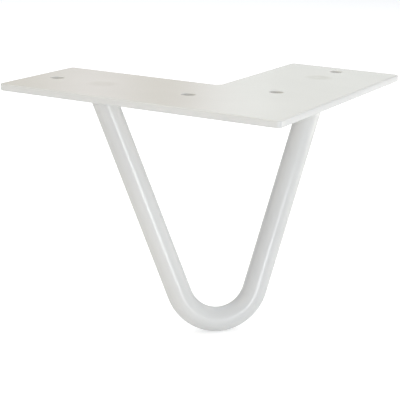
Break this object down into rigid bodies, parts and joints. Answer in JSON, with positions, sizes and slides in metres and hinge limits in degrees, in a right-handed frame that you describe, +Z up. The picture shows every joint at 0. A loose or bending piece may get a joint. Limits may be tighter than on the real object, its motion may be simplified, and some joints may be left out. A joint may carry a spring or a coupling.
{
  "type": "hairpin table leg",
  "caption": "Short hairpin table leg: a round rod bent into a leaning V, welded under an L-shaped mounting plate with screw holes, powder-coated gloss white.",
  "frame": {"origin": "where the centre-lines of the mounting plate's two arms cross, on the plate's top face, which meets the tabletop", "axes": "+X along one arm of the plate, +Y along the other arm, +Z up, out of the top face and into the tabletop; the rod hangs down along -Z and leans out towards the plate's outer corner"},
  "size_m": [0.12, 0.12, 0.1],
  "materials": {
    "white_powder_coat": "gloss"
  },
  "bodies": {
    "root": {"mounting_plate": "white_powder_coat", "bent_rod": "white_powder_coat", "weld_bead_right": "white_powder_coat", "weld_bead_left": "white_powder_coat"}
  },
  "joints": []
}
